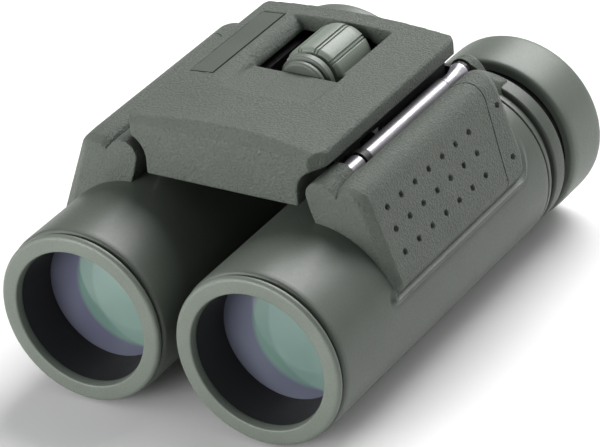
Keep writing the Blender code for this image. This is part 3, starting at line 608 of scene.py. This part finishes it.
def loft(name, loops):
    """A closed skin over loops of (out, up, station), with a face at each end."""
    cage = bmesh.new()
    rings = []
    for loop in loops:
        ring = []
        for out, up, place in loop:
            x = HINGE_X + out
            ring.append(cage.verts.new((x * MM, world_y(place), (HINGE_Z + up) * MM)))
        rings.append(ring)
    for near, far in zip(rings, rings[1:]):
        count = len(near)
        for index in range(count):
            following = (index + 1) % count
            cage.faces.new((near[index], near[following], far[following], far[index]))
    caps = [cage.faces.new(rings[0]), cage.faces.new(rings[-1])]
    bmesh.ops.recalc_face_normals(cage, faces=cage.faces)
    for cap in caps:
        cap.smooth = False
    mesh = bpy.data.meshes.new(name)
    cage.to_mesh(mesh)
    cage.free()
    for polygon in mesh.polygons:
        polygon.use_smooth = len(polygon.vertices) < 10
    mesh.set_sharp_from_angle(angle=math.radians(40))
    return mesh


def section_at(place):
    """The wing's section at a station, with its lower front corner rounded."""
    trench = KNUCKLE_END < place < REAR_KNUCKLE[0]
    growth, shoulder = growths(place)
    knuckle_r = FRONT_KNUCKLE_R if place < REAR_KNUCKLE[0] else REAR_KNUCKLE_R
    section = wing_section(growth, shoulder, knuckle_r, trench)
    short = 1 - (place - WING_FRONT) / CORNER_R
    if short <= 0:
        return section
    lift = math.degrees(CORNER_R / UNDER_R * (1 - math.sqrt(1 - min(1.0, short) ** 2)))
    return [cornered(*spot, lift) for spot in section]


def cornered(out, up, kind, lift):
    """Raise the lower edge near the front face, which rounds the corner between them."""
    reach, angle = polar(out, up)
    above = angle - WING_LOW_DEGREES
    if kind not in ("panel", "under") or above > CORNER_SPAN:
        return out, up, kind
    angle = WING_LOW_DEGREES + lift + above * (CORNER_SPAN - lift) / CORNER_SPAN
    return (*from_polar(reach, angle), kind)


def front_wing():
    """The grip casting, from its rounded front face to the slanted joint."""
    loops = []
    rows = front_rows()
    for index, place in enumerate(rows):
        section = section_at(place)
        spots = [spot[:2] for spot in section]
        if index in FACE_INSETS:
            spots = shrunk(section, FACE_INSETS[index])
        loop = []
        for (out, up), (_, _, kind) in zip(spots, section):
            if kind == "panel" and index not in FACE_INSETS:
                out, up = pitted(out, up, place)
            loop.append((out, up, place))
        loops.append(loop)
    last = rows[-1]
    steps = 24
    for step in range(1, steps + 1):
        loop = []
        for out, up, kind in section:
            place = last + (seam_place(out, up, kind) - last) * step / steps
            spot = pitted(out, up, place) if kind == "panel" else (out, up)
            loop.append((*spot, place))
        loops.append(loop)
    return loft("left_wing_front_shell", loops)


def rear_wing():
    """The rear casting, which carries the rear knuckle and sinks into the barrel."""
    loops = []
    trench_end = REAR_KNUCKLE[0]
    section = section_at(trench_end - HAIR)
    steps = 40
    for step in range(steps + 1):
        loop = []
        for out, up, kind in section:
            first = seam_place(out, up, kind) + SEAM
            place = first + (trench_end - HAIR - first) * step / steps
            spot = sunk(out, up, kind, place)
            if kind == "panel":
                spot = pitted(*spot, place)
            loop.append((*spot, place))
        loops.append(loop)
    section = section_at(trench_end + HAIR)
    steps = 44
    for step in range(steps + 1):
        place = trench_end + HAIR + (WING_END - trench_end) * step / steps
        loops.append([(*sunk(out, up, kind, place), place) for out, up, kind in section])
    return loft("left_wing_rear_shell", loops)


wings = {"front": front_wing(), "rear": rear_wing()}
for end, mesh in wings.items():
    piece(f"left_wing_{end}_shell", mesh, "left_barrel", "grained_cover", [f"left_wing_{end}"])
for end, mesh in wings.items():
    name = f"right_wing_{end}_shell"
    piece(name, mirrored(mesh, name), "right_barrel", "grained_cover", [f"right_wing_{end}"])


# ---------------------------------------------------------------- armour

# The lip's path round the wing, as (station, degrees round the barrel), and its height there.
LIP_PATH = [
    (24.2, 25.5), (22.6, 22.0), (21.4, 18.6), (21.0, 16.9), (21.5, 15.9), (22.6, 15.6), (30.0, 15.6),
    (50.0, 15.6), (68.5, 15.7), (70.3, 16.6), (71.6, 19.0), (72.7, 23.0), (73.6, 28.0), (74.4, 34.0),
    (75.0, 40.0),
]
LIP_HEIGHT = [0.0, 0.3, 0.85, 1, 1, 1, 1, 1, 1, 1, 0.85, 0.6, 0.4, 0.2, 0.0]
LIP_HALF = 0.75
LIP_RISE = 0.62
LIP_GROOVE = 0.08
GROOVE_WIDTH = 0.8
LIP_ZONE = (18.0, 78.0)
LIP_TOP = 60
LIP_ROW = 0.4


def lip(angle, place):
    """Height of the raised lip round the wing's lower edge, and depth of the groove beside it."""
    degrees = math.degrees(angle)
    if degrees > LIP_TOP or place < LIP_ZONE[0] or place > LIP_ZONE[1]:
        return 0.0
    here = Vector((place, TUBE_R * math.radians(degrees)))
    best = 0.0
    beside = 0.0
    for index in range(len(LIP_PATH) - 1):
        first, second = LIP_PATH[index], LIP_PATH[index + 1]
        start = Vector((first[0], TUBE_R * math.radians(first[1])))
        along = Vector((second[0], TUBE_R * math.radians(second[1]))) - start
        share = min(1.0, max(0.0, (here - start).dot(along) / along.length_squared))
        far = (here - start - along * share).length / LIP_HALF
        height = LIP_HEIGHT[index] * (1 - share) + LIP_HEIGHT[index + 1] * share
        if far < 1:
            best = max(best, height * (1 - far * far) ** 2)
        elif far < 1 + GROOVE_WIDTH:
            beside = max(beside, height * math.sin((far - 1) / GROOVE_WIDTH * math.pi))
    return LIP_RISE * best if best > 0 else -LIP_GROOVE * beside


def armour_radius(side):
    """The outer skin's radius, with the lip on the side that the wing is on."""
    def radius_at(turn, place, radius):
        if radius < TUBE_R - HAIR:
            return radius
        angle = turn if side > 0 else math.pi - turn
        angle = (angle + math.pi) % math.tau - math.pi
        return radius + (lip(angle, place) if angle > 0 else 0.0)
    return radius_at


def armour_profile():
    """The rubber sleeve in section, with close rows where the lip runs."""
    points = [(15.6, 1.9, 0), (16.6, 1.9, 0.2), (17.15, 2.2, 0.3), (TUBE_R, 3.0, 0.3)]
    place = 6.0
    while place < LIP_ZONE[0]:
        points.append((TUBE_R, place, 0))
        place += 3.0
    while place < LIP_ZONE[1]:
        points.append((TUBE_R, place, 0))
        place += LIP_ROW
    points += [
        (TUBE_R, 79.25, 0.15), (16.75, 79.4, 0.08), (16.75, 79.7, 0.08), (17.22, 79.8, 0.12),
        (17.22, 80.7, 0.15), (16.2, 80.8, 0.1), (16.2, 82.4, 0), (15.6, 82.4, 0),
    ]
    return points


for side, label in SIDES:
    centre = (side * TUBE_X, TUBE_Z)
    body = f"{label}_barrel"
    name = f"{label}_armour_sleeve"
    armour = lathe(name, armour_profile(), centre, 288, radius_at=armour_radius(side))
    piece(name, armour, body, "armour_rubber", [f"{label}_armour"])

    front = [
        (13.5, 1.1, 0.3), (13.75, 0.0, 0.35), (16.45, 0.0, 0.45), (16.95, 0.45, 0.35), (16.95, 1.1, 0.1),
        (15.3, 1.1, 0), (15.3, 6.0, 0), (13.43, 6.0, 0),
    ]
    turned(f"{label}_front_ring_turned", front, centre, 192, body, "painted_ring", [f"{label}_front_ring"])

    throat = [
        (13.42, 1.6, 0.1), (13.3, 6.6, 2.0), (12.9, 10.6, 0), (13.9, 10.6, 0), (13.9, 6.7, 0),
        (13.43, 6.4, 0), (13.43, 1.6, 0),
    ]
    turned(f"{label}_recess_sleeve", throat, centre, 192, f"{label}_objective", "black_metal",
           [f"{label}_objective_retainer"], RECESS)


# ---------------------------------------------------------------- optics

LENS_R = 12.9
LENS_FRONT = 8.8
LENS_SAG = 1.3
LENS_EDGE = 2.4


def front_lens_profile():
    """A lens whose front bulges forward by LENS_SAG."""
    points = [(0.0, LENS_FRONT, 0)]
    steps = 12
    for step in range(1, steps + 1):
        share = step / steps
        points.append((LENS_R * share, LENS_FRONT + LENS_SAG * share * share, 0))
    back = LENS_FRONT + LENS_SAG + LENS_EDGE
    points += [(LENS_R, back, 0.25), (0.0, back, 0)]
    return points


# Two tones for the purple coating and for each painted reflection, and the painted reflection discs as (right
# of the axis, above it, radius, blur). The teal and green discs are painted reflections of the deeper lens
# surfaces.
PURPLE = ((0.085, 0.088, 0.13), (0.11, 0.12, 0.16))
TEAL = ((0.1, 0.165, 0.145), (0.135, 0.215, 0.185))
BRIGHT_GREEN = ((0.13, 0.2, 0.18), (0.17, 0.255, 0.225))
TEAL_DISC = (5.6, 2.2, 11.5, 0.5)
GREEN_DISC = (10.5, 3.0, 13.0, 0.35)


def within(tree, centre, radius, blur):
    """One inside a circle about centre (x, z), falling to zero over its blurred edge."""
    place = tree.nodes.new("ShaderNodeTexCoord")
    away = tree.nodes.new("ShaderNodeVectorMath")
    away.operation = "SUBTRACT"
    away.inputs[1].default_value = (centre[0] * MM, 0, centre[1] * MM)
    flat = tree.nodes.new("ShaderNodeVectorMath")
    flat.operation = "MULTIPLY"
    flat.inputs[1].default_value = (1 / MM, 0, 1 / MM)
    reach = tree.nodes.new("ShaderNodeVectorMath")
    reach.operation = "LENGTH"
    tree.links.new(place.outputs["Object"], away.inputs[0])
    tree.links.new(away.outputs["Vector"], flat.inputs[0])
    tree.links.new(flat.outputs["Vector"], reach.inputs[0])
    return spread(tree, reach.outputs["Value"], 1.0, 0.0, radius - blur, radius + blur)


def blend(tree, share, first, second):
    """The first colour where share is zero, the second where it is one."""
    made = tree.nodes.new("ShaderNodeMix")
    made.data_type = "RGBA"
    tree.links.new(share, made.inputs["Factor"])
    tree.links.new(first, made.inputs["A"])
    tree.links.new(second, made.inputs["B"])
    return made.outputs["Result"]


def lens_with_painted_reflections(name, centre):
    """Glass with a purple coating tone under painted reflections: a teal disc, then a bright green disc, each
    laid over the last, where the deeper lens surfaces' reflections show.
    """
    made, tree, shader = node_material(name)
    slow = noise(tree, 70.0, 1.0, 0.4)
    reflection_tones = (PURPLE, TEAL, BRIGHT_GREEN)
    tint, teal, green = (ramp(tree, slow, [(0.35, low), (0.65, high)]) for low, high in reflection_tones)
    for (right, up, radius, blur), colour in ((TEAL_DISC, teal), (GREEN_DISC, green)):
        share = within(tree, (centre[0] + right, centre[1] + up), radius, blur)
        tint = blend(tree, share, tint, colour)
    tree.links.new(tint, shader.inputs["Base Color"])
    tree.links.new(spread(tree, slow, 0.05, 0.1), shader.inputs["Roughness"])
    glass_surface(shader)
    return made


def threaded_wall(radius, start, end):
    """Fine rings inside the black cell, which keep stray light off the lens."""
    made = []
    place = start
    while place > end:
        made += [(radius, place, 0), (radius + 0.2, place - 0.25, 0)]
        place -= 0.5
    return made


for side, label in SIDES:
    centre = (side * TUBE_X, TUBE_Z)
    body = f"{label}_objective"
    name = f"{label}_front_lens"
    mesh = lathe(name, front_lens_profile(), centre, 144, closed=False)
    piece(name, mesh, body, "coated_glass", [f"{label}_objective_lens"],
          lens_with_painted_reflections(name + "_painted_reflections", centre))
    cell = [(12.9, 12.6, 0), (14.0, 12.6, 0.1), (14.0, 24.0, 0.1), (11.5, 24.0, 0)]
    cell += threaded_wall(11.6, 23.6, 13.2)
    cell_node = f"{label}_objective_cell"
    turned(cell_node + "_turned", cell, centre, 144, body, "black_metal", [cell_node])


# ---------------------------------------------------------------- eyepieces

for side, label in SIDES:
    centre = (side * TUBE_X, TUBE_Z)
    body = f"{label}_barrel"
    collar_node = "left_rear_collar" if side > 0 else "right_dioptre_ring"
    collar_body = body if side > 0 else "right_dioptre_ring"
    collar = [
        (14.35, 82.8, 0), (16.8, 82.8, 0.2), (17.14, 83.1, 0.25), (17.14, 86.3, 0.25), (16.8, 86.6, 0.2),
        (14.35, 86.6, 0),
    ]
    turned(collar_node + "_turned", collar, centre, 192, collar_body, "painted_ring", [collar_node], SHADED_COLLAR_PAINT)
    cup = [
        (15.5, 89.6, 0), (16.8, 89.6, 0.3), (17.4, 90.05, 0.5), (17.6, 91.3, 0.8), (17.6, LENGTH - 2.2, 0.9),
        (17.45, LENGTH - 0.7, 0.7), (16.2, LENGTH, 0.6), (14.2, LENGTH, 0.5), (13.2, LENGTH - 0.9, 0.5),
        (12.6, 97.7, 0.2), (15.5, 97.7, 0),
    ]
    cup_node = f"{label}_eyecup"
    turned(cup_node + "_moulded", cup, centre, 192, cup_node, "eyecup_rubber", [cup_node])
    guide = [(14.3, 87.0, 0.1), (15.2, 87.0, 0.1), (15.2, 97.4, 0.1), (14.3, 97.4, 0.1)]
    guide_node = f"{label}_eyecup_guide"
    turned(guide_node + "_turned", guide, centre, 144, guide_node, "black_plastic", [guide_node])
    barrel = [(11.2, 81.9, 0), (14.0, 81.9, 0.1), (14.0, 97.0, 0.4), (12.2, 97.2, 0.4), (11.0, 95.6, 0.2)]
    tube_node = f"{label}_eyepiece_tube"
    turned(tube_node + "_turned", barrel, centre, 144, body, "black_metal", [tube_node])
    eye = [(0.0, 91.6, 0), (10.7, 92.8, 0), (10.7, 94.2, 0.2)]
    steps = 10
    for step in range(1, steps + 1):
        share = 1 - step / steps
        eye.append((10.5 * share, 95.6 - 1.3 * share * share, 0))
    turned(f"{label}_eye_lens_polished", eye, centre, 144, body, "coated_glass", [f"{label}_eye_lens"],
           closed=False)


# ---------------------------------------------------------------- hinge hardware

for side, label in SIDES:
    hinge = (side * HINGE_X, HINGE_Z)
    body = f"{label}_barrel"
    pin = [
        (0.0, 24.5, 0), (1.45, 24.5, 0.1), (1.45, 36.0, 0), (1.45, 68.35, 0), (1.5, 68.4, 0),
        (1.5, 72.0, 0.8), (2.08, 74.0, 0.5), (2.08, 74.25, 0),
        (1.5, 74.3, 0), (1.5, 76.5, 0), (0.0, 76.5, 0),
    ]
    pin_node = f"{label}_hinge_pin"
    turned(pin_node + "_polished", pin, hinge, 64, body, "chrome", [pin_node], closed=False)
    collar = [(1.46, 30.0, 0), (1.86, 30.0, 0), (1.86, 35.6, 0.15), (1.46, 35.7, 0)]
    turned(f"{label}_pin_collar", collar, hinge, 64, body, "chrome")
    eye = [(1.62, 35.85, 0), (2.19, 35.85, 0.12), (2.19, 37.7, 0.12), (1.62, 37.7, 0)]
    turned(f"{label}_lug_eye", eye, hinge, 96, "bridge", "black_plastic")
    sleeve = [
        (1.55, 38.0, 0), (1.7, 38.0, 0.12), (1.85, 38.4, 0.3), (1.85, 67.3, 0.1), (1.75, 67.45, 0.05),
        (1.86, 67.6, 0.1), (1.86, 68.1, 0.1), (1.55, 68.2, 0),
    ]
    sleeve_node = f"{label}_focus_sleeve"
    turned(sleeve_node + "_polished", sleeve, hinge, 64, "focus_carriage", "chrome", [sleeve_node])


# ---------------------------------------------------------------- black sheets as painted shade in the hinge gaps

# The web's edge as (station, height above the hinge line).
WEB_OUTLINE = [
    (33.6, 4.4), (33.6, -2.3), (41.4, -2.3), (41.4, 1.3), (49.9, 1.3), (49.9, -2.3), (73.6, -2.3),
    (73.6, 4.4),
]
WEB_ACROSS = (17.0, 18.2)


def shadow_web():
    """A black wall inside the bridge's edge, with a notch that the focus carriage runs in: a dark sheet that
    stands in for the shadow in the gap between the bridge's side and the hinge pin.
    """
    cage = bmesh.new()
    walls = [[cage.verts.new((x * MM, world_y(place), (HINGE_Z + up) * MM)) for place, up in WEB_OUTLINE]
             for x in WEB_ACROSS]
    inner, outer = walls
    cage.faces.new(inner)
    cage.faces.new(outer)
    count = len(inner)
    for index in range(count):
        following = (index + 1) % count
        cage.faces.new((inner[index], inner[following], outer[following], outer[index]))
    return finish_mesh("left_shadow_web", cage)


web = shadow_web()
# Black sheets placed as painted shade where the gap beside the bridge lies in shadow.
piece("left_shadow_web", web, "bridge", "black_plastic")
piece("right_shadow_web", mirrored(web, "right_shadow_web"), "bridge", "black_plastic")


# ---------------------------------------------------------------- deck

DECK_HALF = 20.9
DECK_TOP = 7.8
DECK_CROWN = 1.2
CUTTER_TOP = 14
WINDOW = (51.5, 69.4)
RAMP_DEPTH = 2.45
WINDOW_DROP = 1.6
RIDGE = (-13.1, -9.35)
RIDGE_START = 40.0
RIGHT_WALL = (9.2, 10.5)
RIGHT_START = 37.5
RIGHT_CUT = (38.0, 51.3)
DECK_VOXEL = 0.26
DECK_SMOOTHING = 3


def deck_height(x):
    """Height of the crowned deck above the hinge line."""
    return DECK_TOP + DECK_CROWN * (1 - (x / DECK_HALF) ** 2)


def between(limits, step, steps):
    """The place of one step on the way from the first limit to the second."""
    return limits[0] + (limits[1] - limits[0]) * step / steps


def sheet_cutter(name, x_range, place_range, height, columns, rows):
    """A solid that is bounded below by a height function of (x, station)."""
    cage = bmesh.new()
    grid = []
    for row in range(rows + 1):
        place = between(place_range, row, rows)
        grid.append([(between(x_range, column, columns), place) for column in range(columns + 1)])

    def layer(level):
        return [[cage.verts.new((x * MM, world_y(p), (HINGE_Z + level(x, p)) * MM)) for x, p in row]
                for row in grid]

    def flat_top(x, place):
        return CUTTER_TOP

    low = layer(height)
    high = layer(flat_top)
    for r in range(rows):
        for c in range(columns):
            cage.faces.new((low[r][c], low[r + 1][c], low[r + 1][c + 1], low[r][c + 1]))
            cage.faces.new((high[r][c], high[r][c + 1], high[r + 1][c + 1], high[r + 1][c]))
    for r in range(rows):
        cage.faces.new((low[r][0], high[r][0], high[r + 1][0], low[r + 1][0]))
        cage.faces.new((low[r][columns], low[r + 1][columns], high[r + 1][columns], high[r][columns]))
    for c in range(columns):
        cage.faces.new((low[0][c], low[0][c + 1], high[0][c + 1], high[0][c]))
        cage.faces.new((low[rows][c], high[rows][c], high[rows][c + 1], low[rows][c + 1]))
    mesh = finish_mesh(name, cage)
    made = bpy.data.objects.new(name, mesh)
    scene.collection.objects.link(made)
    made.hide_render = True
    return made


def ramp_depth(place, start):
    """How far the thumb ramp has gone down at a station."""
    return RAMP_DEPTH * min(1.0, max(0.0, (place - start) / (WINDOW[0] - start)))


def ridge_height(x, place):
    """The convex wall between the nameplate and the wheel window."""
    share = min(1.0, max(0.0, (x - RIDGE[0]) / (RIDGE[1] - RIDGE[0])))
    depth = ramp_depth(place, RIDGE_START) + WINDOW_DROP * ease((place - WINDOW[0] + 1) / 1.5)
    fall = depth * (1 - math.sqrt(max(0.0, 1 - share * share)))
    return deck_height(x) + 0.03 - 0.04 * ease(share * 4) - fall


def right_wall_height(x, place):
    """The slope at the other side of the thumb ramp."""
    share = (x - RIGHT_WALL[0]) / (RIGHT_WALL[1] - RIGHT_WALL[0])
    return deck_height(x) + 0.02 - ramp_depth(place, RIGHT_START) * (1 - ease(share))


ridge_cut = sheet_cutter("ridge_cut", RIDGE, (RIDGE_START, WINDOW[1]), ridge_height, 40, 90)
right_cut = sheet_cutter("right_cut", RIGHT_WALL, RIGHT_CUT, right_wall_height, 12, 40)
deck = remade("top_cover", "top_cover_moulded", DECK_VOXEL, DECK_SMOOTHING, [ridge_cut, right_cut])
piece("top_cover_moulded", deck, "bridge", "grained_cover", ["top_cover"])


# ---------------------------------------------------------------- focus wheel

WHEEL_Z = middle("focus_screw").z
WHEEL_R = 6.3
WHEEL = (55.8, 69.0)
RIBS = 10
FIRST_RIB = 0.2
RIB_REACH = 2.2
GROOVE_HALF = math.radians(4.6)
GROOVE_DEPTH = 0.42
LINE_DEPTH = 0.12
# Shares of a groove's half width: the raised line's top, its foot, and the foot of the rib's wall.
LINE_TOP = 0.34
LINE_FOOT = 0.5
WALL_FOOT = 0.9


def wheel_radius(turn, _, radius):
    """Ribs divided by grooves that each hold a raised line along their middle."""
    if radius < WHEEL_R - RIB_REACH:
        return radius
    pitch = math.tau / RIBS
    off = abs((turn + FIRST_RIB) % pitch - pitch / 2) / GROOVE_HALF
    if off >= 1:
        return radius
    if off > WALL_FOOT:
        return radius - GROOVE_DEPTH * (1 - off) / (1 - WALL_FOOT)
    if off > LINE_FOOT:
        return radius - GROOVE_DEPTH
    rise = max(0.0, off - LINE_TOP) / (LINE_FOOT - LINE_TOP)
    return radius - LINE_DEPTH - (GROOVE_DEPTH - LINE_DEPTH) * rise


tyre = [
    (2.9, WHEEL[0], 0), (5.7, WHEEL[0], 0.1), (WHEEL_R, WHEEL[0] + 0.6, 0.5), (WHEEL_R, 59.0, 0),
    (WHEEL_R, 63.0, 0), (WHEEL_R, WHEEL[1] - 1.8, 1.2), (5.3, WHEEL[1] - 0.15, 1.1), (4.2, WHEEL[1], 0),
    (2.9, WHEEL[1], 0),
]
axis = (0.0, WHEEL_Z)
mesh = lathe("focus_wheel_tyre", tyre, axis, 540, radius_at=wheel_radius, angle=24.0)
piece("focus_wheel_tyre", mesh, "focus_wheel", "wheel_rubber", ["focus_wheel"])
hub = [
    (0.0, 51.8, 0), (4.6, 51.8, 0.2), (5.0, 52.1, 0.2), (5.0, 52.9, 0.15), (4.4, 53.0, 0), (4.4, 53.3, 0),
    (5.4, 53.4, 0.15), (5.6, 53.6, 0.1), (5.6, 54.9, 0.1), (5.2, 55.0, 0), (5.2, 55.4, 0), (4.6, 55.5, 0),
    (2.6, 55.6, 0), (2.6, 69.3, 0.1), (1.5, 69.3, 0), (0.0, 69.2, 0),
]
turned("focus_hub_turned", hub, axis, 128, "focus_wheel", "painted_ring", ["focus_hub"], closed=False)


# ---------------------------------------------------------------- pieces kept from the frame

for entry in frame["record"]["subparts"]:
    node = frame["nodes"][entry["node"]]
    node.data.materials.clear()
    node.data.materials.append(LOOKS[entry["material_slot"]])
frame["nodes"]["nameplate"].data.materials[0] = NAMEPLATE


# ---------------------------------------------------------------- camera, floor and light

def camera_axes(azimuth, elevation, roll):
    """The camera's right, up and back directions, from degrees."""
    a, e, r = (math.radians(value) for value in (azimuth, elevation, roll))
    back = Vector((math.sin(a) * math.cos(e), -math.cos(a) * math.cos(e), math.sin(e)))
    right = Vector((math.cos(a), math.sin(a), 0))
    up = back.cross(right)
    return right * math.cos(r) + up * math.sin(r), up * math.cos(r) - right * math.sin(r), back


# The last of these is where the front centre of the right barrel is from the middle of the view.
CAMERA_ANGLES = (32.723, 29.083, -4.788)
CAMERA_DISTANCE = 693.745
CAMERA_LENS = 229.716
FRONT_LEFT_IN_VIEW = (-40.023, -17.469)

across, upward, back = camera_axes(*CAMERA_ANGLES)
corner = Vector((-TUBE_X, CAD_LOW.y / MM, TUBE_Z))
aim = corner - across * FRONT_LEFT_IN_VIEW[0] - upward * FRONT_LEFT_IN_VIEW[1]
lens = bpy.data.cameras.new("camera")
lens.sensor_width = 36
lens.lens = CAMERA_LENS
lens.clip_start = 0.01
lens.clip_end = 10
camera = bpy.data.objects.new("camera", lens)
scene.collection.objects.link(camera)
turn = Matrix((across, upward, back)).transposed().to_4x4()
turn.translation = (aim + back * CAMERA_DISTANCE) * MM
camera.matrix_world = turn
scene.camera = camera


LIGHT_DISTANCE = 0.8
WORLD_STRENGTH = 0.22
FLOOR_HALF = 3.0


def soft_light(name, direction, size, power):
    """A square light that faces the object, with its size in metres and its power in watts."""
    data = bpy.data.lights.new(name, "AREA")
    data.shape = "SQUARE"
    data.size = size
    data.energy = power
    made = bpy.data.objects.new(name, data)
    scene.collection.objects.link(made)
    toward = Vector(direction).normalized()
    made.location = toward * LIGHT_DISTANCE + Vector((0, 0, HINGE_Z * MM))
    made.rotation_euler = toward.to_track_quat("Z", "Y").to_euler()


soft_light("top_back", (0.0, 0.9, 1.0), 0.6, 9.5)
soft_light("front_left", (-1.0, -0.8, 0.35), 0.5, 1.9)
soft_light("front_low", (-0.35, -1.0, 0.05), 0.5, 8.8)
soft_light("right_back", (1.0, 0.7, 0.8), 0.5, 1.1)

world = bpy.data.worlds.new("studio")
world.use_nodes = True
sky = world.node_tree.nodes["Background"]
sky.inputs["Color"].default_value = (1, 1, 1, 1)
sky.inputs["Strength"].default_value = WORLD_STRENGTH
scene.world = world

cage = bmesh.new()
bmesh.ops.create_grid(cage, x_segments=1, y_segments=1, size=FLOOR_HALF)
floor = bpy.data.objects.new("floor", finish_mesh("floor", cage))
scene.collection.objects.link(floor)
paper, tree, shader = node_material("floor_paper")
tone = ramp(tree, noise(tree, 14.0, 2.0), [(0.3, (0.86, 0.86, 0.86)), (0.7, (0.88, 0.88, 0.88))])
tree.links.new(tone, shader.inputs["Base Color"])
shader.inputs["Roughness"].default_value = 0.9
floor.data.materials.append(paper)
